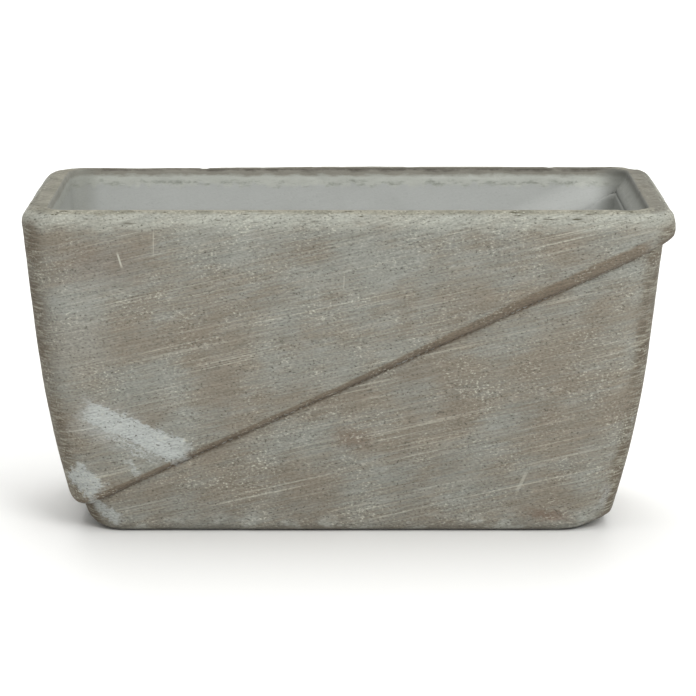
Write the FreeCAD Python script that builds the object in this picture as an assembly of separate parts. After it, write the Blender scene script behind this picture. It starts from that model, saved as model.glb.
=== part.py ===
"""Trough planter of whitewashed fired clay, in millimetres.

Two clay shells make the pot. The lower tub has the floor, the drain holes and the lower walls.
The upper collar stands proud of it all round, has the rim, and laps over the tub's top edge
along an oblique seam that rises from the bottom of the left end to the top of the right end.

Frame: +Z up, +X along the length, to the right of the front view, front wall towards -Y.
The origin is at the middle of the footprint, on the surface that the planter stands on.
"""

import FreeCAD
import Part
import math
import os

# ---- Rim and height ------------------------------------------------------------------------
RIM_LENGTH = 300.0  # over the collar's end walls
RIM_WIDTH = 150.0  # over the collar's long walls
HEIGHT = 154.0
CORNER_RADIUS = 21.0  # the collar's upright corners, outside
TUB_CORNER_RADIUS = 20.0  # the tub's upright corners, outside

# ---- How the walls lean in towards the base ------------------------------------------------
LONG_WALL_DRAFT = 6.2  # degrees, front and back walls
END_WALL_DRAFT = 5.4  # degrees, the straight upper part of the end walls
END_CURVE_START = 90.0  # height below which an end wall curves further in
END_CURVE_RADIUS = 450.0  # of that curve, seen from the front

# ---- Walls and floor -----------------------------------------------------------------------
LONG_WALL = 10.0  # front and back walls, at the rim
END_WALL = 13.0  # end walls, at the rim
WALL_GROWTH = 3.0  # how much thicker each wall is at the base than at the rim
FLOOR = 12.0
INNER_CORNER_RADIUS = 10.0
FLOOR_FILLET = 9.0  # inside, between the walls and the floor

# ---- The lapped seam -----------------------------------------------------------------------
STEP = 5.0  # how far the collar stands proud of the tub
LOW_END_REVEAL = 0.8  # tub wall that shows at the low end, above the base's rounding
HIGH_END_LIP = 5.6  # collar wall that shows at the high end, below the rim's rounding
LAP = 11.0  # how far the tub's top edge reaches up inside the collar
LIP_FILLET = 7.0  # outside, along the collar's lower edge
LEDGE_FILLET = 2.0  # inside, along the tub's top edge
COVE_FILLET = 2.5  # inside, where the collar's wall meets the tub's top edge

# ---- Other edges ---------------------------------------------------------------------------
RIM_OUTER_FILLET = 7.5
RIM_INNER_FILLET = 1.5
BASE_FILLET = 10.0

# ---- Drain holes ---------------------------------------------------------------------------
DRAIN_COUNT = 2
DRAIN_DIAMETER = 14.0
DRAIN_SPACING = 130.0

OVERCUT = 5.0  # how far a cutting solid runs past what it cuts
NEAR = 0.01  # how close a point must lie to a plane to count as on it


def end_curve_centre():
    """Centre (x, z) of the end wall's lower curve, which is tangent to its straight upper part."""
    lean = math.radians(END_WALL_DRAFT)
    start_x = RIM_LENGTH / 2 - (HEIGHT - END_CURVE_START) * math.tan(lean)
    centre_x = start_x - END_CURVE_RADIUS * math.cos(lean)
    centre_z = END_CURVE_START + END_CURVE_RADIUS * math.sin(lean)
    return centre_x, centre_z


def half_length(z):
    """Half of the collar's outer length at height z."""
    if z >= END_CURVE_START:
        return RIM_LENGTH / 2 - (HEIGHT - z) * math.tan(math.radians(END_WALL_DRAFT))
    centre_x, centre_z = end_curve_centre()
    return centre_x + math.sqrt(END_CURVE_RADIUS**2 - (z - centre_z) ** 2)


def half_width(z):
    """Half of the collar's outer width at height z."""
    return RIM_WIDTH / 2 - (HEIGHT - z) * math.tan(math.radians(LONG_WALL_DRAFT))


def wall_growth(z):
    """How much thicker a wall is at height z than at the rim."""
    return WALL_GROWTH * (HEIGHT - z) / HEIGHT


def chain(points):
    """Straight edges from each point to the next, closed."""
    return [Part.makeLine(a, b) for a, b in zip(points, points[1:] + points[:1])]


def prism(edges, along):
    """Solid between a closed outline and its copy moved by the vector along."""
    wire = Part.Wire(Part.__sortEdges__(edges))
    return Part.Face(wire).extrude(along)


def front_prism(inset, bottom, top, inside):
    """The outline seen from the front, with its curved ends, run through from front to back."""

    def point(side, z):
        reach = half_length(z) - inset - (wall_growth(z) if inside else 0)
        return FreeCAD.Vector(side * reach, -RIM_WIDTH, z)

    bend = max(bottom, END_CURVE_START)
    edges = [
        Part.makeLine(point(-1, bottom), point(1, bottom)),
        Part.makeLine(point(-1, top), point(1, top)),
    ]
    for side in (-1, 1):
        edges.append(Part.makeLine(point(side, bend), point(side, top)))
        if bottom < bend:
            middle = (bottom + bend) / 2
            curve = Part.Arc(point(side, bottom), point(side, middle), point(side, bend))
            edges.append(curve.toShape())
    return prism(edges, FreeCAD.Vector(0, 2 * RIM_WIDTH, 0))


def end_prism(inset, bottom, top, inside):
    """The outline seen from an end, a trapezium, run through from end to end."""

    def point(side, z):
        reach = half_width(z) - inset - (wall_growth(z) if inside else 0)
        return FreeCAD.Vector(-RIM_LENGTH, side * reach, z)

    corners = [point(-1, bottom), point(1, bottom), point(1, top), point(-1, top)]
    return prism(chain(corners), FreeCAD.Vector(2 * RIM_LENGTH, 0, 0))


def block(end_inset, long_inset, radius, bottom, top, inside=False):
    """Drafted block with round upright corners, inset from the collar's outside."""
    solid = front_prism(end_inset, bottom, top, inside)
    solid = solid.common(end_prism(long_inset, bottom, top, inside))
    upright = [e for e in solid.Edges if e.BoundBox.ZLength > OVERCUT]
    return solid.makeFillet(radius, upright)


def level(z):
    """A level plane, as a function that gives its height at any x."""
    return lambda x: z


def seam(lift=0.0):
    """The oblique seam, or a plane that lies lift above it, given the same way.

    It rises from the base's -X end to the rim's +X end.
    """
    low_x = -half_length(0)
    low_z = BASE_FILLET + LOW_END_REVEAL
    high_x = RIM_LENGTH / 2
    high_z = HEIGHT - RIM_OUTER_FILLET - HIGH_END_LIP
    slope = (high_z - low_z) / (high_x - low_x)
    return lambda x: low_z + lift + (x - low_x) * slope


def space_above(plane):
    """Solid that fills the space above a plane."""
    corners = [
        FreeCAD.Vector(-RIM_LENGTH, -RIM_WIDTH, plane(-RIM_LENGTH)),
        FreeCAD.Vector(RIM_LENGTH, -RIM_WIDTH, plane(RIM_LENGTH)),
        FreeCAD.Vector(RIM_LENGTH, -RIM_WIDTH, 3 * HEIGHT),
        FreeCAD.Vector(-RIM_LENGTH, -RIM_WIDTH, 3 * HEIGHT),
    ]
    return prism(chain(corners), FreeCAD.Vector(0, 2 * RIM_WIDTH, 0))


def in_plane(edge, plane):
    """Whether an edge's two ends and its middle all lie in the plane."""
    first, last = edge.ParameterRange
    points = [edge.valueAt(p) for p in (first, (first + last) / 2, last)]
    return all(abs(p.z - plane(p.x)) < NEAR for p in points)


def edges_in(solid, plane):
    """The solid's edges that lie in the plane."""
    return [e for e in solid.Edges if in_plane(e, plane)]


def hole_edges_in(solid, plane):
    """The edges of the hole in the solid's flat face that lies in the plane."""
    found = []
    for face in solid.Faces:
        if all(in_plane(e, plane) for e in face.Edges):
            holes = [w for w in face.Wires if not w.isSame(face.OuterWire)]
            found.extend(e for w in holes for e in w.Edges)
    return found


def tub_block():
    """The tub's outer form, solid, and taller than the pot."""
    return block(STEP, STEP, TUB_CORNER_RADIUS, 0, HEIGHT + OVERCUT)


def make_lower_tub():
    """Floor, lower walls and the tongue that reaches up inside the collar."""
    tub = tub_block().cut(space_above(seam(LAP)))
    tub = tub.makeFillet(BASE_FILLET, edges_in(tub, level(0)))
    hollow = block(
        STEP + END_WALL,
        STEP + LONG_WALL,
        INNER_CORNER_RADIUS,
        FLOOR,
        HEIGHT + OVERCUT,
        inside=True,
    )
    hollow = hollow.makeFillet(FLOOR_FILLET, edges_in(hollow, level(FLOOR)))
    tub = tub.cut(hollow)
    tub = tub.makeFillet(LEDGE_FILLET, hole_edges_in(tub, seam(LAP)))
    for index in range(DRAIN_COUNT):
        x = (index - (DRAIN_COUNT - 1) / 2) * DRAIN_SPACING
        foot = FreeCAD.Vector(x, 0, -OVERCUT)
        tub = tub.cut(Part.makeCylinder(DRAIN_DIAMETER / 2, FLOOR + 2 * OVERCUT, foot))
    return tub


def make_upper_collar():
    """Upper walls, rim and the lip that laps over the tub."""
    collar = block(0, 0, CORNER_RADIUS, 0, HEIGHT).common(space_above(seam()))
    collar = collar.makeFillet(LIP_FILLET, edges_in(collar, seam()))
    collar = collar.makeFillet(RIM_OUTER_FILLET, edges_in(collar, level(HEIGHT)))
    collar = collar.cut(tub_block().cut(space_above(seam(LAP))))
    hollow = block(END_WALL, LONG_WALL, INNER_CORNER_RADIUS, 0, HEIGHT + OVERCUT, inside=True)
    hollow = hollow.common(space_above(seam(LAP)))
    hollow = hollow.makeFillet(COVE_FILLET, edges_in(hollow, seam(LAP)))
    collar = collar.cut(hollow)
    return collar.makeFillet(RIM_INNER_FILLET, hole_edges_in(collar, level(HEIGHT)))


def save(name, shape):
    """Write one piece's STEP file and print what it measures."""
    solids = shape.Solids
    box = shape.optimalBoundingBox(True, False)
    print(name, "solids", len(solids), "valid", shape.isValid(), "volume", round(shape.Volume))
    print("   x %.2f to %.2f, y %.2f to %.2f, z %.2f to %.2f"
          % (box.XMin, box.XMax, box.YMin, box.YMax, box.ZMin, box.ZMax))
    only = solids[0] if len(solids) == 1 else shape
    only.exportStep("parts/" + name + ".step")


os.makedirs("parts", exist_ok=True)
save("lower_tub", make_lower_tub())
save("upper_collar", make_upper_collar())
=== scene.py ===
# %% [markdown]
# # A trough planter in whitewashed clay
# The pot is two clay shells: a lower tub, and a collar that laps over it along an oblique seam.
# Their sizes are settled in the frame that this script loads. What is made here is the part that
# a frame can't hold: the uneven skin of pressed clay, and the thin grey wash brushed over it.
# Everything is in metres, with +Z up and the front wall towards -Y.

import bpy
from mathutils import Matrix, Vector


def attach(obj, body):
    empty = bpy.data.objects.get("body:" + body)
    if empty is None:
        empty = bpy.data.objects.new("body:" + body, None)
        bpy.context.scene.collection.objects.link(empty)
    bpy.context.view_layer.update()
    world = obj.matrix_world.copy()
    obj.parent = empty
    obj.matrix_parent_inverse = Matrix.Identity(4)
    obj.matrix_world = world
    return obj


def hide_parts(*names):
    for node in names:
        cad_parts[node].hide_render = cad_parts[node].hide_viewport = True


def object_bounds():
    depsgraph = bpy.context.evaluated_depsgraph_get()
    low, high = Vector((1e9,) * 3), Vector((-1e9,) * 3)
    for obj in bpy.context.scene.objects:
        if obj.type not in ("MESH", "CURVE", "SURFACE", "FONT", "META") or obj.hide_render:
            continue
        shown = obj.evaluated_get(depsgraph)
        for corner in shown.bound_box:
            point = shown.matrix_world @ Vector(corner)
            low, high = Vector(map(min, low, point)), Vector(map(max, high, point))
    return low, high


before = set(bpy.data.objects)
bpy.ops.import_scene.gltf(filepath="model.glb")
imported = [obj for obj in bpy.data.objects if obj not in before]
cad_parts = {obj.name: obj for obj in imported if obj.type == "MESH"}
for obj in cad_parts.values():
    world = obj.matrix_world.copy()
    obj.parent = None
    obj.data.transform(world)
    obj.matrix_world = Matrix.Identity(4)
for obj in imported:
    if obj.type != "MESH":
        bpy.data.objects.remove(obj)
cad_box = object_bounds()
print("nodes:", sorted(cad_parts), "box:", cad_box)

# %% [markdown]
# ## Units and colours
# Clay is measured in millimetres, so one value turns them into Blender's metres. A colour is
# written as the hex code that a paint chart would give, and one function turns it into the
# linear light that the shader works in. Linear values could be typed directly, but nobody can
# read those.

# %% Units and colours
import math

import bmesh
import bpy
import numpy as np
from mathutils import Vector, noise
from mathutils.bvhtree import BVHTree

MM = 0.001


def linear(hex_code):
    """An sRGB hex colour as linear red, green, blue and alpha."""
    shares = [int(hex_code[i : i + 2], 16) / 255 for i in (1, 3, 5)]
    light = [s / 12.92 if s <= 0.04045 else ((s + 0.055) / 1.055) ** 2.4 for s in shares]
    return (*light, 1.0)


print("a mid grey, linear:", [round(c, 3) for c in linear("#808080")[:3]])

# %% [markdown]
# ## The camera
# A long lens from about a metre and a half flattens the pot as the photograph does. Its height
# and tilt decide how much of the inside shows. They were found by fitting the outline of a pot
# 150 mm wide. One 130 mm wide, seen from a little nearer and higher, fits about as well, so the
# outline alone doesn't settle the width.

# %% Camera
FRAME_PX = 696
FOCAL_PX = 3142.5
SENSOR = 36.0
TILT_DOWN = math.radians(11.67)

camera = bpy.data.objects.new("camera", bpy.data.cameras.new("camera"))
camera.data.sensor_width = SENSOR
camera.data.lens = SENSOR * FOCAL_PX / FRAME_PX
camera.location = (-0.1 * MM, -1472.4 * MM, 380.6 * MM)
camera.rotation_euler = (math.radians(90) - TILT_DOWN, 0, 0)
bpy.context.collection.objects.link(camera)
bpy.context.scene.camera = camera
print("lens:", round(camera.data.lens, 1), "mm")

# %% [markdown]
# ## Floor and light
# The pot stands on a plain pale floor in a bright room. A white world gives the soft light from
# all sides. A large lamp overhead makes what faces up brighter than what faces forward, and one
# over the camera reaches down inside, to the back wall. A small hard lamp would draw the clay's
# grit more strongly, but it would also throw a dark shadow that the photograph doesn't have.

# %% Floor and light
FLOOR_SIZE = 12.0
FLOOR_COLOUR = "#f4f4f2"

scene = bpy.context.scene
scene.view_settings.view_transform = "Standard"

floor_mesh = bmesh.new()
bmesh.ops.create_grid(floor_mesh, x_segments=1, y_segments=1, size=FLOOR_SIZE / 2)
floor = bpy.data.objects.new("floor", bpy.data.meshes.new("floor"))
floor_mesh.to_mesh(floor.data)
floor_mesh.free()
bpy.context.collection.objects.link(floor)

floor_material = bpy.data.materials.new("pale painted floor")
floor_material.use_nodes = True
floor_shader = floor_material.node_tree.nodes["Principled BSDF"]
floor_shader.inputs["Base Color"].default_value = linear(FLOOR_COLOUR)
floor_shader.inputs["Roughness"].default_value = 0.8
floor.data.materials.append(floor_material)

world = bpy.data.worlds.new("bright room")
world.use_nodes = True
world.node_tree.nodes["Background"].inputs["Color"].default_value = linear("#ffffff")
world.node_tree.nodes["Background"].inputs["Strength"].default_value = 0.5
scene.world = world


def soft_lamp(name, place, aim, size, watts):
    """A square area lamp that shines from a place towards a point."""
    lamp = bpy.data.objects.new(name, bpy.data.lights.new(name, "AREA"))
    lamp.data.size = size
    lamp.data.energy = watts
    lamp.location = place
    lamp.rotation_euler = (Vector(aim) - Vector(place)).to_track_quat("-Z", "Y").to_euler()
    bpy.context.collection.objects.link(lamp)
    return lamp


pot_middle = (0, 0, cad_box[1][2] / 2)
soft_lamp("lamp overhead", (0.0, 0.2, 2.6), pot_middle, size=2.4, watts=34)
soft_lamp("lamp over the camera", (1.0, -1.7, 1.6), pot_middle, size=1.2, watts=32)
soft_lamp("lamp behind, for the far floor", (0.0, 3.2, 2.6), (0, 2.6, 0), size=3.0, watts=90)

# %% [markdown]
# ## The form in numbers
# The skin and the finish both need to know where a point lies on the pot: how far inside the
# outer face, which way is out, and how high above the seam. A few functions answer that for all
# points at once. Painting such zones by hand would do as well, but numbers can be repeated.

# %% The form in numbers
HEIGHT = 154.0
HALF_LENGTH = 150.0
HALF_WIDTH = 75.0
CORNER_RADIUS = 21.0
LONG_LEAN = math.tan(math.radians(6.2))
END_LEAN = math.radians(5.4)
CURVE_START = 90.0
CURVE_RADIUS = 450.0
SEAM_LOW = Vector((-126.4, 10.8))
SEAM_HIGH = Vector((150.0, 140.9))
SEAM_SLOPE = (SEAM_HIGH.y - SEAM_LOW.y) / (SEAM_HIGH.x - SEAM_LOW.x)
LAP = 11.0


def half_length(z):
    """Half of the pot's outer length at each height."""
    straight = HALF_LENGTH - (HEIGHT - z) * math.tan(END_LEAN)
    start = HALF_LENGTH - (HEIGHT - CURVE_START) * math.tan(END_LEAN)
    drop = z - (CURVE_START + CURVE_RADIUS * math.sin(END_LEAN))
    curved = start - CURVE_RADIUS * math.cos(END_LEAN) + np.sqrt(CURVE_RADIUS**2 - drop**2)
    return np.where(z >= CURVE_START, straight, curved)


def half_width(z):
    """Half of the pot's outer width at each height."""
    return HALF_WIDTH - (HEIGHT - z) * LONG_LEAN


def above_seam(places):
    """Height of each point above the seam's plane."""
    return places[:, 2] - SEAM_LOW.y - (places[:, 0] - SEAM_LOW.x) * SEAM_SLOPE


def way_out(places):
    """The level direction from inside the pot to the nearest wall, at each point."""
    x, y, z = places.T
    past_x = np.abs(x) - (half_length(z) - CORNER_RADIUS)
    past_y = np.abs(y) - (half_width(z) - CORNER_RADIUS)
    in_corner = (past_x > 0) & (past_y > 0)
    out_x = np.where(in_corner, past_x, (past_x > past_y).astype(float)) * np.sign(x)
    out_y = np.where(in_corner, past_y, (past_x <= past_y).astype(float)) * np.sign(y)
    return np.stack([out_x, out_y], axis=1) / np.hypot(out_x, out_y)[:, None]


def ease(low, high, values):
    """0 below low, 1 above high, and a smooth rise between them."""
    share = np.clip((values - low) / (high - low), 0, 1)
    return share * share * (3 - 2 * share)


print("seam rises", round(math.degrees(math.atan(SEAM_SLOPE)), 1), "degrees")

# %% [markdown]
# ## An even net of faces
# The frame's meshes have long thin triangles, which can't bend into dents. A copy of each is
# merged, remeshed on a small cubic grid, and each new corner is put back on the frame's surface,
# so the sizes stay. Cutting the long triangles with subdivision would work too, but it leaves
# slivers, and a dent in slivers shows creases.

# %% An even net of faces
def places_of(mesh):
    """The mesh's corners in millimetres, one row each."""
    flat = np.empty(len(mesh.vertices) * 3)
    mesh.vertices.foreach_get("co", flat)
    return flat.reshape(-1, 3) / MM


def normals_of(mesh):
    """The way that the surface faces at each corner."""
    flat = np.empty(len(mesh.vertices) * 3)
    mesh.vertex_normals.foreach_get("vector", flat)
    return flat.reshape(-1, 3)


def put_back(mesh, places):
    """Move the mesh's corners to the given places, in millimetres."""
    mesh.vertices.foreach_set("co", (places * MM).ravel())
    mesh.update()


def even_net(node, name, grain):
    """A piece with the node's shape, in small faces about as wide as the grain."""
    copy = bmesh.new()
    copy.from_mesh(node.data)
    bmesh.ops.remove_doubles(copy, verts=copy.verts, dist=0.001 * MM)
    guide = BVHTree.FromBMesh(copy)
    mesh = bpy.data.meshes.new(name)
    copy.to_mesh(mesh)
    copy.free()
    piece = bpy.data.objects.new(name, mesh)
    bpy.context.collection.objects.link(piece)
    net = piece.modifiers.new("net", "REMESH")
    net.mode = "VOXEL"
    net.voxel_size = grain * MM
    net.use_smooth_shade = True
    depsgraph = bpy.context.evaluated_depsgraph_get()
    piece.data = bpy.data.meshes.new_from_object(piece.evaluated_get(depsgraph))
    piece.modifiers.clear()
    nearest = [guide.find_nearest(v.co)[0] for v in piece.data.vertices]
    put_back(piece.data, np.array(nearest) / MM)
    return piece


lower_tub = even_net(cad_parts["lower_tub"], "lower_tub_clay", grain=1.5)
upper_collar = even_net(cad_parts["upper_collar"], "upper_collar_clay", grain=1.35)
for piece in (lower_tub, upper_collar):
    print(piece.name, "has", len(piece.data.polygons) * 2, "triangles")

# %% [markdown]
# ## The soft ledge inside
# Inside the pot the tub's top edge stands 5 mm further in than the collar's wall. Fingers have
# smoothed that step to a gentle swelling. So the collar's wall is drawn inwards towards the
# ledge, and its lowest millimetres are drawn down over the tub's edge, where they run out in the
# tub's wall. A strip of clay could be added instead, but the real potter adds none.

# %% The soft ledge inside
STEP = 5.0  # how far the tub's top edge stands in from the collar's wall
SWELLING = 15.0  # height over which the collar's wall swells out to it
OVERLAP = 5.0  # how far the collar's foot is drawn down over that edge
SINK = 0.8  # how deep the drawn-down foot ends inside the tub's wall
RIM_EDGE = 4.0  # kept as it is, below the rim
COVE_RADIUS = 2.5


def level_part(normals):
    """The level part of each normal, about one unit long."""
    flat = normals[:, :2]
    return flat / np.maximum(np.hypot(flat[:, 0], flat[:, 1]), 0.2)[:, None]


def smooth_ledge(piece):
    """Draw the collar's inner foot down and in. Returns the largest move, in millimetres."""
    places = places_of(piece.data)
    normals = normals_of(piece.data)
    over = above_seam(places) - LAP
    room = np.clip(HEIGHT - RIM_EDGE - (places[:, 2] - over), 5.0, SWELLING)
    inwards = -(normals[:, :2] * way_out(places)).sum(axis=1)
    skin = ease(0.1, 0.3, inwards) * (over > -0.6)
    down = OVERLAP * (1 - ease(0, 1, over / room)) * skin
    foot = np.clip(COVE_RADIUS - over, 0, COVE_RADIUS)
    cove = COVE_RADIUS - np.sqrt(COVE_RADIUS**2 - foot**2)
    reach = over - down
    half = OVERLAP / 2
    slope = (STEP + 0.2) * (1 - ease(0, 1, (reach + half) / (room + half)))
    sink = SINK * ease(-half, -OVERLAP, reach)
    move = (slope - sink + down * LONG_LEAN - cove) * skin
    places[:, :2] += level_part(normals) * move[:, None]
    places[:, 2] -= down
    put_back(piece.data, places)
    return move.max()


print("collar wall moves in by", round(smooth_ledge(upper_collar), 2), "mm")

# %% [markdown]
# ## The uneven skin
# Clay pressed into a mould by hand and finished with a wet sponge is nowhere quite flat. Slow
# swellings come from the press, small ones from the fingers, and the rim and the lip's edge are
# chipped and wavy from being lifted out. Noise of a few sizes, pushed along the surface's own
# direction, gives all of these. Sculpting would too, but it can't be repeated from a script.
# The right end bulges by a millimetre, and the rim's back corners are rounder than the front's.

# %% The uneven skin
BACK_CORNER_RADIUS = 30.0
RIM_LOW, RIM_HIGH = 143.0, 150.0  # the height over which the walls turn into the rim
LIP_REACH = 6.0  # how far above the seam the lip's waves reach
LIP_DROOP = 1.6  # at the low end
END_BULGE = 1.3  # of the right end wall
FOOT_HEIGHT = 7.0
FOOT_CUT = 8.0  # how far the right end's foot is rounded off
FOOT_SPREAD = 3.5  # of the long walls' feet
BACK_SAG = 0.4  # of the back rim's left half
SKIN_DEPTH = 0.12  # how far the mean skin lies inside the frame's surface
RIM_LIFT = 0.3


def lumps(places, width, seed, stretch=(1, 1, 1)):
    """Smooth noise from -1 to 1 with lumps about as wide as given, in millimetres."""
    spots = places / (np.array(stretch) * width) + seed
    return np.array([noise.noise(Vector(spot)) for spot in spots])


def round_back_corners(places):
    """Draw the rim's two back corners in to a larger radius."""
    x, y, z = places.T
    reach_x = np.maximum(np.abs(x) - (half_length(z) - BACK_CORNER_RADIUS), 0)
    reach_y = np.maximum(y - (half_width(z) - BACK_CORNER_RADIUS), 0)
    distance = np.hypot(reach_x, reach_y)
    excess = np.maximum(distance - BACK_CORNER_RADIUS, 0) * ease(138, 149, z)
    share = excess / np.maximum(distance, 1) * (reach_x > 0) * (reach_y > 0)
    places[:, 0] -= share * reach_x * np.sign(x)
    places[:, 1] -= share * reach_y


def uneven(piece):
    """Push the skin in and out by hand-made amounts, and keep it inside the frame's box."""
    places = places_of(piece.data)
    normals = normals_of(piece.data)
    x, y, z = places.T
    out = way_out(places)
    outwards = (normals[:, :2] * out).sum(axis=1)
    outside = ease(-0.2, 0.4, outwards)
    on_rim = ease(RIM_LOW, RIM_HIGH, z)
    over = above_seam(places)
    near_lip = np.exp(-((over / LIP_REACH) ** 2)) * outside * (1 - on_rim)

    push = 0.38 * lumps(places, 70, 3.1) + 0.16 * lumps(places, 17, 8.4)
    push += 0.05 * lumps(places, 3.6, 5.7)
    push += on_rim * 0.16 * lumps(places, 6, 1.9, (2, 2, 1))
    pits = ease(0.36, 0.5, lumps(places, 4.5, 12.3, (1.8, 0.9, 0.9)))
    push -= on_rim * pits * 0.35
    push += near_lip * 0.3 * lumps(places, 9, 6.6)
    push += END_BULGE * np.clip(out[:, 0], 0, 1) * ease(0.2, 0.6, outwards) * (1 - on_rim)
    places += normals * (push - SKIN_DEPTH + RIM_LIFT * on_rim)[:, None]
    round_back_corners(places)

    if piece is upper_collar:
        wave = 0.8 * lumps(places, 34, 2.2) + 0.25 * lumps(places, 7, 4.8)
        droop = LIP_DROOP * ease(-95, -122, x)
        places[:, 2] += near_lip * (wave - droop)
    else:
        places[:, 0] -= FOOT_CUT * ease(80, 118, x) * ease(FOOT_HEIGHT, 0, z)
        long_wall = ease(38, 46, np.abs(y))
        places[:, 1] += FOOT_SPREAD * out[:, 1] * ease(9, 0, z) * long_wall
    places[:, 2] -= BACK_SAG * ease(20, -50, x) * ease(0, 60, y) * ease(120, 150, z)

    low, high = (np.array(corner) / MM for corner in cad_box)
    put_back(piece.data, np.clip(places, low, high))


for piece in (lower_tub, upper_collar):
    uneven(piece)
    print(piece.name, "skin from", places_of(piece.data).min(0).round(2), "mm up")

# %% [markdown]
# ## Where each finish lies
# The wash is thick in some zones and rubbed off in others, so the finish has to know the zones:
# outside or inside, the top of the rim, the upright corners and the lip's underside. Each is
# stored on the mesh as a number from 0 to 1 at every corner. The material reads them by name, so
# they stay with the clay when the camera moves.

# %% Where each finish lies
def store(piece, name, values):
    """Keep one number for each corner of the mesh under a name that the material can read."""
    zone = piece.data.attributes.new(name, "FLOAT", "POINT")
    zone.data.foreach_set("value", values.astype(np.float32))


def mark_zones(piece):
    """Store the pot's zones on one piece."""
    places = places_of(piece.data)
    normals = normals_of(piece.data)
    x, y, z = places.T
    out = way_out(places)
    outside = ease(-0.25, 0.35, (normals[:, :2] * out).sum(axis=1))
    outside *= 1 - ease(0.4, 0.9, normals[:, 2]) * (z < HEIGHT / 2)
    underside = ease(HEIGHT * 0.1, 2.0, z) * ease(-0.6, -0.9, normals[:, 2])
    over = above_seam(places) * math.cos(math.atan(SEAM_SLOPE))
    band = 3.4 + 2.8 * ease(-20, 120, x)
    in_band = ease(-0.9, 0.2, over) * ease(1.35, 0.75, over / band)
    in_band *= 1 - 0.8 * ease(130, 142, x)
    store(piece, "outside", np.maximum(outside, underside))
    store(piece, "rim_top", ease(0.72, 0.93, normals[:, 2]) * ease(148, 152.5, z))
    turned = np.abs(out[:, 0])
    round_corner = ease(0.42, 0.8, turned) * (1 - 0.75 * ease(0.97, 1.0, turned))
    store(piece, "corner", round_corner * outside * (1 - ease(144, 151, z)))
    store(piece, "under_lip", in_band * outside)
    store(piece, "crease", ease(-1.0, -0.1, over) * ease(2.0, 0.7, over) * outside)
    # The rim's two ends are made darker, and its back is darkened as painted shade.
    darker_rim_ends = np.maximum(0.85 * ease(132, 141, x), 0.5 * ease(-134, -142, x))
    store(piece, "dark_rim_ends_and_back_shade", np.maximum(darker_rim_ends, 0.8 * ease(62, 67, y)))
    store(piece, "thin_slip", np.full(len(z), float(piece is lower_tub)))


for piece in (lower_tub, upper_collar):
    mark_zones(piece)
    print(piece.name, "zones:", [a.name for a in piece.data.attributes if a.data_type == "FLOAT"])

# %% [markdown]
# ## The clay's material
# The real one is terracotta: low-fired red-brown clay, matt and full of pores, brushed with a
# watery grey-white slip that has dried to a thin chalky film. To the eye it is a cloudy mix of
# warm brown and cool grey without any gloss. All patterns below work in millimetres on the
# object's own coordinates. One small function adds every node.

# %% The clay's material
clay = bpy.data.materials.new("whitewashed terracotta")
clay.use_nodes = True
shader = clay.node_tree.nodes["Principled BSDF"]
shader.inputs["Roughness"].default_value = 0.88
shader.inputs["IOR"].default_value = 1.5
shader.inputs["Specular IOR Level"].default_value = 0.3


def add(kind, inputs, **settings):
    """Add a node with its settings, and give each input a value or another node's output."""
    node = clay.node_tree.nodes.new("ShaderNode" + kind)
    for setting, value in settings.items():
        setattr(node, setting, value)
    for name, value in inputs.items():
        source = value.outputs[0] if isinstance(value, bpy.types.Node) else value
        if isinstance(source, bpy.types.NodeSocket):
            clay.node_tree.links.new(source, node.inputs[name])
        else:
            node.inputs[name].default_value = source
    return node


BRUSH_TILT = math.radians(13)

coordinates = add("TexCoord", {})
place = add("VectorMath", {0: coordinates.outputs["Object"], "Scale": 1 / MM}, operation="SCALE")
axes = add("SeparateXYZ", {0: place})
brushed = add("Mapping", {"Vector": place, "Rotation": (0, BRUSH_TILT, 0)})
print("brush rises", round(math.degrees(BRUSH_TILT)), "degrees to the right")

# %% [markdown]
# ## Clouds of wash over bare clay
# The slip was put on wet with a wide brush and partly wiped off. It leaves cool grey clouds a
# few centimetres wide, drawn out along the brush, with the brown of the clay between them. Two
# noises make that: a broad one for how much slip lies there, and a long thin one for the
# bristles' streaks, 0.9 mm apart.

# %% Clouds of wash over bare clay
cloud_place = add("VectorMath", {0: brushed, 1: (1 / 46, 1 / 46, 1 / 25)}, operation="MULTIPLY")
clouds = add("TexNoise", {"Vector": cloud_place, "Scale": 1.0, "Detail": 4.0, "Roughness": 0.6})
streak_place = add("VectorMath", {0: brushed, 1: (1 / 22, 1 / 22, 1 / 0.9)}, operation="MULTIPLY")
streaks = add("TexNoise", {"Vector": streak_place, "Scale": 1.0, "Detail": 2.0, "Roughness": 0.6})
streak_lift = add(
    "MapRange",
    {"Value": streaks, "From Min": 0.3, "From Max": 0.7, "To Min": -0.08, "To Max": 0.08},
)
thin_slip = add("Attribute", {}, attribute_name="thin_slip").outputs["Fac"]
less = add("Math", {0: thin_slip, 1: -0.075}, operation="MULTIPLY")
wetted = add("Math", {0: clouds, 1: less}, operation="ADD")
washed = add("Math", {0: wetted, 1: streak_lift}, operation="ADD")
cover = add(
    "MapRange",
    {"Value": washed, "From Min": 0.31, "From Max": 0.66},
    interpolation_type="SMOOTHSTEP",
)

tint_place = add("VectorMath", {0: place, "Scale": 1 / 19}, operation="SCALE")
tint = add("TexNoise", {"Vector": tint_place, "Scale": 1.0, "Detail": 2.0})
bare = add("MixRGB", {"Fac": tint, "Color1": linear("#776f63"), "Color2": linear("#847e71")})
slip = add("MixRGB", {"Fac": tint, "Color1": linear("#81827a"), "Color2": linear("#8c8d86")})
colour = add("MixRGB", {"Fac": cover, "Color1": bare, "Color2": slip})
print("nodes so far:", len(clay.node_tree.nodes))

# %% [markdown]
# ## Bristle lines
# Here and there a stiff bristle left one long pale line, under half a millimetre wide and up to
# ten centimetres long. A very long, thin noise is cut off near its top, so that only a few lines
# remain, and a slow noise keeps them to some places. Real lines are as fine as a hair: these are
# a little wider, so that they show in the picture.

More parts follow.
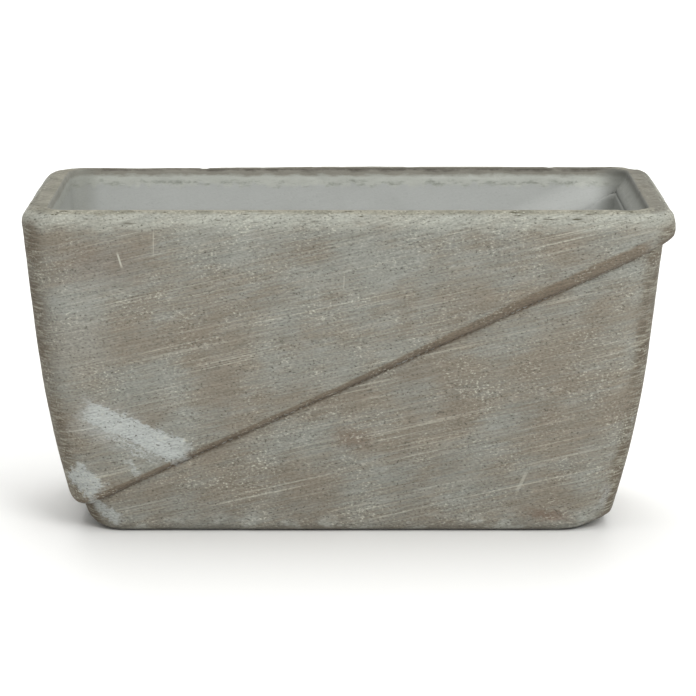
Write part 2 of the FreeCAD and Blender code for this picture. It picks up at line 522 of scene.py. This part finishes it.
# %% Bristle lines
line_place = add("VectorMath", {0: brushed, 1: (1 / 90, 1 / 90, 1 / 0.75)}, operation="MULTIPLY")
line_noise = add("TexNoise", {"Vector": line_place, "Scale": 1.0, "Detail": 0.0})
lines = add("MapRange", {"Value": line_noise, "From Min": 0.62, "From Max": 0.75})
patch_place = add("VectorMath", {0: brushed, 1: (1 / 60, 1 / 60, 1 / 14)}, operation="MULTIPLY")
patches = add("TexNoise", {"Vector": patch_place, "Scale": 1.0, "Detail": 2.0})
patch = add("MapRange", {"Value": patches, "From Min": 0.42, "From Max": 0.62})
line_share = add("Math", {0: lines, 1: patch}, operation="MULTIPLY")
line_soft = add("Math", {0: line_share, 1: 0.55}, operation="MULTIPLY")
colour = add("MixRGB", {"Fac": line_soft, "Color1": colour, "Color2": linear("#adac9f")})
print("nodes so far:", len(clay.node_tree.nodes))

# %% [markdown]
# ## Zones of the outside
# The rounded shoulder under the rim is painted paler, as a painted highlight where it faces up to
# the light. The brush skims over the upright corners and misses the hollow under the lip, where
# the brown clay stays bare and painted shade darkens it further. Near the ground the pot is
# painted darker, as painted shade at the foot, and pale slip that ran down has dried there in
# scallops. The zones' numbers come from the mesh, and noise frays their borders.

# %% Zones of the outside
outside = add("Attribute", {}, attribute_name="outside").outputs["Fac"]
corner = add("Attribute", {}, attribute_name="corner").outputs["Fac"]
under_lip = add("Attribute", {}, attribute_name="under_lip").outputs["Fac"]
rim_top = add("Attribute", {}, attribute_name="rim_top").outputs["Fac"]

fray_place = add("VectorMath", {0: place, 1: (1 / 9, 1 / 9, 1 / 3)}, operation="MULTIPLY")
fray = add("TexNoise", {"Vector": fray_place, "Scale": 1.0, "Detail": 4.0, "Roughness": 0.65})
fray_move = add(
    "MapRange",
    {"Value": fray, "From Min": 0.3, "From Max": 0.7, "To Min": -3.0, "To Max": 3.0},
)
frayed_height = add("Math", {0: axes.outputs["Z"], 1: fray_move}, operation="ADD")

# Painted highlight: the shoulder under the rim is made paler where it faces up to the light.
shoulder = add(
    "MapRange",
    {"Value": frayed_height, "From Min": 143.0, "From Max": 149.5},
    interpolation_type="SMOOTHSTEP",
)
shoulder_out = add("Math", {0: shoulder, 1: outside}, operation="MULTIPLY")
shoulder_highlight_share = add("Math", {0: shoulder_out, 1: 0.62}, operation="MULTIPLY")
colour = add("MixRGB", {"Fac": shoulder_highlight_share, "Color1": colour, "Color2": linear("#a2a49a")})

# Painted shade: the colour darkens towards the ground.
foot = add(
    "MapRange",
    {"Value": frayed_height, "From Min": 9.0, "From Max": 0.5},
    interpolation_type="SMOOTHSTEP",
)
foot_shade_share = add("Math", {0: foot, 1: 0.55}, operation="MULTIPLY")
colour = add("MixRGB", {"Fac": foot_shade_share, "Color1": colour, "Color2": linear("#6e6c64")})

lap_place = add("VectorMath", {0: place, 1: (1 / 13, 1 / 13, 1 / 7)}, operation="MULTIPLY")
laps = add("TexNoise", {"Vector": lap_place, "Scale": 1.0, "Detail": 5.0, "Roughness": 0.65})
lap_spots = add("MapRange", {"Value": laps, "From Min": 0.5, "From Max": 0.6})
lap_height = add("MapRange", {"Value": frayed_height, "From Min": 12.0, "From Max": 4.0})
lap_share = add("Math", {0: lap_spots, 1: lap_height}, operation="MULTIPLY")
off_ground = add("MapRange", {"Value": axes.outputs["Z"], "From Min": 0.5, "From Max": 2.0})
lap_off = add("Math", {0: lap_share, 1: off_ground}, operation="MULTIPLY")
lap_out = add("Math", {0: lap_off, 1: outside}, operation="MULTIPLY")
lap_soft = add("Math", {0: lap_out, 1: 0.6}, operation="MULTIPLY")
colour = add("MixRGB", {"Fac": lap_soft, "Color1": colour, "Color2": linear("#a4a69e")})
print("nodes so far:", len(clay.node_tree.nodes))

# %% [markdown]
# ## Brown corners and the brown band under the lip
# On the upright corners the brush left short level dashes of slip, with brown clay between. The
# same noise that draws streaks, made shorter, gives the dashes. The band under the lip is bare
# clay, darkened further by painted shade, and darkest in the crease itself, which is painted
# shade.

# %% Brown corners and the brown band under the lip
dash_place = add("VectorMath", {0: place, 1: (1 / 9, 1 / 9, 1 / 0.8)}, operation="MULTIPLY")
dashes = add("TexNoise", {"Vector": dash_place, "Scale": 1.0, "Detail": 2.0})
dash = add("MapRange", {"Value": dashes, "From Min": 0.46, "From Max": 0.66})
corner_clay = add(
    "MixRGB", {"Fac": dash, "Color1": linear("#594e40"), "Color2": linear("#8d8a7c")}
)
corner_wear = add(
    "MapRange",
    {"Value": tint, "From Min": 0.35, "From Max": 0.6, "To Min": 0.55, "To Max": 0.9},
)
corner_share = add("Math", {0: corner, 1: corner_wear}, operation="MULTIPLY")
colour = add("MixRGB", {"Fac": corner_share, "Color1": colour, "Color2": corner_clay})

# Bare clay under the lip, darkened further as painted shade.
band_edge = add("MapRange", {"Value": fray, "To Min": -0.35, "To Max": 0.35})
band_sum = add("Math", {0: under_lip, 1: band_edge}, operation="ADD")
band = add("MapRange", {"Value": band_sum, "From Min": 0.3, "From Max": 0.8})
band_clay_and_shade = add("MixRGB", {"Fac": tint, "Color1": linear("#5e5346"), "Color2": linear("#7a6f60")})
band_clay_and_shade_share = add("Math", {0: band, 1: 0.88}, operation="MULTIPLY")
colour = add("MixRGB", {"Fac": band_clay_and_shade_share, "Color1": colour, "Color2": band_clay_and_shade})
# Painted shade: the crease under the lip is darkened.
crease = add("Attribute", {}, attribute_name="crease").outputs["Fac"]
crease_shade_share = add("Math", {0: crease, 1: 0.5}, operation="MULTIPLY")
colour = add("MixRGB", {"Fac": crease_shade_share, "Color1": colour, "Color2": linear("#4a4138")})
print("nodes so far:", len(clay.node_tree.nodes))

# %% [markdown]
# ## The top of the rim
# The rim stood on a board while the clay dried. Its top is rubbed flat, a little yellow, and
# blotched where it was rubbed, with short dark cracks that run along its edge. The two ends are
# made darker, and the back is darkened as painted shade. Three noises give the grain, the blots
# and the cracks: the last is drawn out along the rim and cut off low.

# %% The top of the rim
rim_place = add("VectorMath", {0: place, 1: (1 / 4.5, 1 / 2.2, 1 / 1.6)}, operation="MULTIPLY")
rim_noise = add("TexNoise", {"Vector": rim_place, "Scale": 1.0, "Detail": 4.0, "Roughness": 0.7})
rim_clay = add(
    "MixRGB", {"Fac": rim_noise, "Color1": linear("#6b6859"), "Color2": linear("#979587")}
)
blot_place = add("VectorMath", {0: place, "Scale": 1 / 11}, operation="SCALE")
blots = add("TexNoise", {"Vector": blot_place, "Scale": 1.0, "Detail": 5.0, "Roughness": 0.6})
blot = add("MapRange", {"Value": blots, "From Min": 0.5, "From Max": 0.62, "To Max": 0.7})
rim_blotted = add("MixRGB", {"Fac": blot, "Color1": rim_clay, "Color2": linear("#626152")})
# Darker rim ends, and painted shade along the back of the rim.
dark_rim_ends_and_back_shade = add("Attribute", {}, attribute_name="dark_rim_ends_and_back_shade").outputs["Fac"]
rim_darkening_spots = add("MapRange", {"Value": rim_noise, "From Min": 0.6, "From Max": 0.4, "To Min": 0.6})
rim_darkening = add("Math", {0: dark_rim_ends_and_back_shade, 1: rim_darkening_spots}, operation="MULTIPLY")
rim_darkened = add("MixRGB", {"Fac": rim_darkening, "Color1": rim_blotted, "Color2": linear("#55524a")})
rim_share = add("Math", {0: rim_top, 1: 0.9}, operation="MULTIPLY")
colour = add("MixRGB", {"Fac": rim_share, "Color1": colour, "Color2": rim_darkened})

crack_place = add("VectorMath", {0: place, 1: (1 / 9, 1 / 2.5, 1 / 0.9)}, operation="MULTIPLY")
crack_noise = add("TexNoise", {"Vector": crack_place, "Scale": 1.0, "Detail": 3.0})
crack_lines = add("MapRange", {"Value": crack_noise, "From Min": 0.36, "From Max": 0.3})
near_top = add("MapRange", {"Value": axes.outputs["Z"], "From Min": 147.0, "From Max": 151.0})
rim_or_out = add("Math", {0: rim_top, 1: outside}, operation="MAXIMUM")
crack_zone = add("Math", {0: near_top, 1: rim_or_out}, operation="MULTIPLY")
rim_cracks = add("Math", {0: crack_lines, 1: crack_zone}, operation="MULTIPLY")
colour = add("MixRGB", {"Fac": rim_cracks, "Color1": colour, "Color2": linear("#45412f")})
print("nodes so far:", len(clay.node_tree.nodes))

# %% [markdown]
# ## The inside
# The inside was rinsed with slip and never brushed, so it is smooth, even and paler than the
# outside. Just below the rim the slip stopped in a rough tide line with short runs, and above it
# a band of brown clay is left. The line's height is the point's height, shifted by noise. The
# right end wall is darkened as painted shade, and the left end wall is made a little darker.

# %% The inside
run_place = add("VectorMath", {0: place, 1: (1 / 5, 1 / 5, 1 / 9)}, operation="MULTIPLY")
runs = add("TexNoise", {"Vector": run_place, "Scale": 1.0, "Detail": 4.0, "Roughness": 0.6})
run_move = add(
    "MapRange",
    {"Value": runs, "From Min": 0.3, "From Max": 0.7, "To Min": -1.6, "To Max": 1.6},
)
tide_height = add("Math", {0: axes.outputs["Z"], 1: run_move}, operation="ADD")
inside_clay = add(
    "MixRGB", {"Fac": tint, "Color1": linear("#aeb0ac"), "Color2": linear("#b8bab7")}
)
above_tide = add("MapRange", {"Value": tide_height, "From Min": 144.4, "From Max": 146.4})
crumbly = add(
    "MixRGB", {"Fac": fray, "Color1": linear("#aeb0a8"), "Color2": linear("#c6c8c0")}
)
inside_high = add("MixRGB", {"Fac": above_tide, "Color1": inside_clay, "Color2": crumbly})
blotch_place = add("VectorMath", {0: place, 1: (1 / 6, 1 / 6, 1 / 2)}, operation="MULTIPLY")
blotches = add(
    "TexNoise", {"Vector": blotch_place, "Scale": 1.0, "Detail": 5.0, "Roughness": 0.65}
)
blotch = add("MapRange", {"Value": blotches, "From Min": 0.48, "From Max": 0.6})
below_line = add("MapRange", {"Value": tide_height, "From Min": 148.0, "From Max": 146.4})
tide_zone = add("Math", {0: below_line, 1: above_tide}, operation="MULTIPLY")
tide_spots = add("Math", {0: tide_zone, 1: blotch}, operation="MULTIPLY")
inside_tide = add(
    "MixRGB", {"Fac": tide_spots, "Color1": inside_high, "Color2": linear("#969990")}
)
small_move = add("Math", {0: fray_move, 1: 0.3}, operation="MULTIPLY")
top_height = add("Math", {0: axes.outputs["Z"], 1: small_move}, operation="ADD")
above_slip = add("MapRange", {"Value": top_height, "From Min": 149.4, "From Max": 151.0})
inside_bare = add(
    "MixRGB", {"Fac": above_slip, "Color1": inside_tide, "Color2": linear("#8e8b81")}
)
at_edge = add("MapRange", {"Value": top_height, "From Min": 151.8, "From Max": 153.4})
inside_top = add(
    "MixRGB", {"Fac": at_edge, "Color1": inside_bare, "Color2": linear("#56524a")}
)
# Painted shade: the inner right end wall is darkened. The inner left end wall is made a little
# darker too.
right_end_shade = add(
    "MapRange",
    {"Value": axes.outputs["X"], "From Min": 119.0, "From Max": 133.0, "To Max": 0.85},
    interpolation_type="SMOOTHSTEP",
)
left_end_darkening = add(
    "MapRange",
    {"Value": axes.outputs["X"], "From Min": -121.0, "From Max": -131.0, "To Max": 0.6},
    interpolation_type="SMOOTHSTEP",
)
inside_right_end_shaded = add(
    "MixRGB", {"Fac": right_end_shade, "Color1": inside_top, "Color2": linear("#6f706a")}
)
inside_darker_ends = add(
    "MixRGB", {"Fac": left_end_darkening, "Color1": inside_right_end_shaded, "Color2": linear("#83847c")}
)
inside_share = add("Math", {0: 1.0, 1: outside}, operation="SUBTRACT")
not_rim = add("Math", {0: 1.0, 1: rim_top}, operation="SUBTRACT")
inside_only = add("Math", {0: inside_share, 1: not_rim}, operation="MULTIPLY")
colour = add("MixRGB", {"Fac": inside_only, "Color1": colour, "Color2": inside_darker_ends})
print("nodes so far:", len(clay.node_tree.nodes))

# %% [markdown]
# ## Splashes and rubbed spots
# A few marks are single: a white splash that a wet brush dragged down to the crease, small white
# spots near the low corner, and brown spots where the slip was rubbed off. Each is one stroke: a
# short bar with a place, a turn and a size on the front wall. Its border is frayed by noise.
# Painting them on a texture would need a picture file, and this needs none.

# %% Splashes and rubbed spots
ragged_place = add("VectorMath", {0: place, 1: (1 / 3.4, 1 / 3.4, 1 / 2.2)}, operation="MULTIPLY")
ragged_noise = add(
    "TexNoise", {"Vector": ragged_place, "Scale": 1.0, "Detail": 4.0, "Roughness": 0.7}
)
ragged_shift = add(
    "VectorMath",
    {0: ragged_noise.outputs["Color"], 1: (0.5, 0.5, 0.5)},
    operation="SUBTRACT",
)
ragged_move = add("VectorMath", {0: ragged_shift, 1: (13.0, 0.0, 8.0)}, operation="MULTIPLY")
ragged = add("VectorMath", {0: place, 1: ragged_move}, operation="ADD")
front = add("MapRange", {"Value": axes.outputs["Y"], "From Min": -47.0, "From Max": -50.0})
front_out = add("Math", {0: front, 1: outside}, operation="MULTIPLY")


ANY_DEPTH = 1000.0


def stroke(ground, paint, middle, turn, half_long, half_wide, strength, edge=0.35, frayed=True):
    """Lay one bar of a colour on the front wall.

    The middle is its x and z. The turn is in degrees, up to the right. The edge is the share of
    its half size over which it fades.
    """
    bar = add(
        "Mapping",
        {
            "Vector": ragged if frayed else place,
            "Location": (middle[0], 0.0, middle[1]),
            "Rotation": (0.0, -math.radians(turn), 0.0),
            "Scale": (half_long, ANY_DEPTH, half_wide),
        },
        vector_type="TEXTURE",
    )
    away = add("VectorMath", {0: bar}, operation="ABSOLUTE")
    sides = add("SeparateXYZ", {0: away})
    edge_distance = add(
        "Math", {0: sides.outputs["X"], 1: sides.outputs["Z"]}, operation="MAXIMUM"
    )
    inside_bar = add(
        "MapRange",
        {"Value": edge_distance, "From Min": 1 + edge, "From Max": 1 - edge, "To Max": strength},
    )
    share = add("Math", {0: inside_bar, 1: front_out}, operation="MULTIPLY")
    return add("MixRGB", {"Fac": share, "Color1": ground, "Color2": linear(paint)})


BROWN, RED_BROWN, PALE_GREY, WHITE = "#736659", "#6f5a4c", "#8f918b", "#a9adaa"
colour = stroke(colour, BROWN, (-112, 130), 4, 17, 8, 0.5, edge=0.6)
colour = stroke(colour, BROWN, (2, 46), -10, 7, 4, 0.7, edge=0.5)
colour = stroke(colour, PALE_GREY, (-124, 100), 6, 12, 19, 0.5, edge=0.6)
colour = stroke(colour, RED_BROWN, (94, 8), -9, 9, 2.2, 0.5, edge=0.5)
colour = stroke(colour, WHITE, (-112, 54), -22, 12, 8.0, 0.45, edge=0.45)
colour = stroke(colour, WHITE, (-97.5, 50.3), -24, 25, 4.9, 0.9, edge=0.14)
colour = stroke(colour, WHITE, (-90.5, 44.0), -30, 14, 3.4, 0.85, edge=0.25)
colour = stroke(colour, WHITE, (-100, 43), -28, 11, 0.7, 0.7, edge=0.5)
colour = stroke(colour, WHITE, (-96, 38.5), -26, 8, 0.5, 0.6, edge=0.5)
colour = stroke(colour, WHITE, (-122, 25.5), -42, 8, 5.5, 0.85, edge=0.16)
colour = stroke(colour, WHITE, (-114, 10), -35, 8, 3.0, 0.75, edge=0.25)
colour = stroke(colour, WHITE, (-99.5, 32.5), -62, 4.5, 1.4, 0.55, edge=0.4)
colour = stroke(colour, WHITE, (120.4, 15.6), 75, 6, 2.5, 0.4)
colour = stroke(colour, WHITE, (133.4, 50), 80, 6, 1.6, 0.4)
print("nodes so far:", len(clay.node_tree.nodes))

# %% [markdown]
# ## Grit and crumbs
# The clay has fine sand in it, and the dried slip has crumbled. That leaves pale crumbs and dark
# pores of about a millimetre, lying a little flat because the brush passed over them. They crowd
# together in places. One noise gives both: its highest spots are crumbs, its lowest are pores.
# Two finer ones make every spot a little darker or lighter than the next: the sand does that,
# and so do the brush's hairs, which leave threads 0.65 mm apart.

# %% Grit and crumbs
grit_place = add("VectorMath", {0: place, 1: (1 / 1.25, 1 / 1.25, 1 / 0.8)}, operation="MULTIPLY")
grit = add("TexNoise", {"Vector": grit_place, "Scale": 1.0, "Detail": 1.0, "Roughness": 0.5})
crowd_place = add("VectorMath", {0: place, "Scale": 1 / 17}, operation="SCALE")
crowd = add("TexNoise", {"Vector": crowd_place, "Scale": 1.0, "Detail": 3.0})
crowding = add("MapRange", {"Value": crowd, "From Min": 0.38, "From Max": 0.66})
crumb_spots = add("MapRange", {"Value": grit, "From Min": 0.58, "From Max": 0.74})
crumbs = add("Math", {0: crumb_spots, 1: crowding}, operation="MULTIPLY")
pore_spots = add("MapRange", {"Value": grit, "From Min": 0.37, "From Max": 0.27})
outside_grit = add("MapRange", {"Value": outside, "To Min": 0.12, "To Max": 1.0})
crumb_share = add("Math", {0: crumbs, 1: outside_grit}, operation="MULTIPLY")
pore_share = add("Math", {0: pore_spots, 1: outside_grit}, operation="MULTIPLY")
few_crumbs = add("Math", {0: crumb_share, 1: 0.8}, operation="MULTIPLY")
few_pores = add("Math", {0: pore_share, 1: 0.75}, operation="MULTIPLY")
colour = add("MixRGB", {"Fac": few_crumbs, "Color1": colour, "Color2": linear("#b9b8aa")})
colour = add("MixRGB", {"Fac": few_pores, "Color1": colour, "Color2": linear("#504d45")})

grain_place = add("VectorMath", {0: place, 1: (1 / 1.3, 1 / 1.3, 1 / 0.6)}, operation="MULTIPLY")
grain = add("TexNoise", {"Vector": grain_place, "Scale": 1.0, "Detail": 0.0})
thread_place = add("VectorMath", {0: brushed, 1: (1 / 16, 1 / 16, 1 / 0.65)}, operation="MULTIPLY")
threads = add("TexNoise", {"Vector": thread_place, "Scale": 1.0, "Detail": 1.0})
grain_sum = add("Math", {0: grain, 1: threads}, operation="ADD")
grain_tone = add(
    "MapRange",
    {"Value": grain_sum, "From Min": 0.6, "From Max": 1.4, "To Min": 0.78, "To Max": 1.22},
)
skin_tone = add("MixRGB", {"Fac": outside_grit, "Color1": (1, 1, 1, 1), "Color2": grain_tone})
colour = add("VectorMath", {0: colour, 1: skin_tone}, operation="MULTIPLY")
print("nodes so far:", len(clay.node_tree.nodes))

# %% [markdown]
# ## Scratches
# The last marks are thin pale scratches, cut through everything below them, so they come last.
# They are the same kind of stroke, only a fraction of a millimetre wide, and not frayed.

# %% Scratches
CHALK = "#b9b8ab"
colour = stroke(colour, CHALK, (-103.5, 132), -74, 3.2, 0.4, 0.75, frayed=False)
colour = stroke(colour, CHALK, (-88, 140), 89, 5.5, 0.25, 0.4, frayed=False)
colour = stroke(colour, CHALK, (-1.9, 122), 88, 3.5, 0.3, 0.35, frayed=False)
colour = stroke(colour, CHALK, (80.5, 24.5), 66, 5.2, 0.7, 0.4, frayed=False)
print("nodes so far:", len(clay.node_tree.nodes))

# %% [markdown]
# ## Relief and sheen
# Streaks, crumbs and pores can be felt as well as seen. The same noises that colour them raise
# or lower the surface by a tenth of a millimetre, through a bump, because the net of faces is
# too coarse to hold them. The slip is chalky, so nothing shines.

# %% Relief and sheen
streak_height = add("Math", {0: streaks, 1: 0.35}, operation="MULTIPLY")
grit_height = add("Math", {0: grit, 1: streak_height}, operation="ADD")
relief_height = add("Math", {0: grit_height, 1: rim_cracks}, operation="SUBTRACT")
relief_rough = add("Math", {0: outside, 1: 0.8}, operation="MULTIPLY")
relief_share = add("Math", {0: relief_rough, 1: 0.2}, operation="ADD")
relief_mm = add("Math", {0: relief_height, 1: relief_share}, operation="MULTIPLY")
relief = add("Bump", {"Height": relief_mm, "Strength": 0.6, "Distance": 0.35 * MM})
clay.node_tree.links.new(relief.outputs[0], shader.inputs["Normal"])
print("nodes in all:", len(clay.node_tree.nodes))

# %% [markdown]
# ## Join the material to the pieces
# The finished colour goes into the shader, and both pieces get the same material, as both are the
# same clay under the same slip. Each piece then stands for its node of the frame, so the frame's
# plain surface isn't seen under it, and both ride on the one body: fired clay doesn't move.

# %% Join the material to the pieces
clay.node_tree.links.new(colour.outputs[0], shader.inputs["Base Color"])
for piece, node in ((lower_tub, "lower_tub"), (upper_collar, "upper_collar")):
    piece.data.materials.clear()
    piece.data.materials.append(clay)
    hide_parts(node)
    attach(piece, "root")
    print(piece.name, "stands for", node)
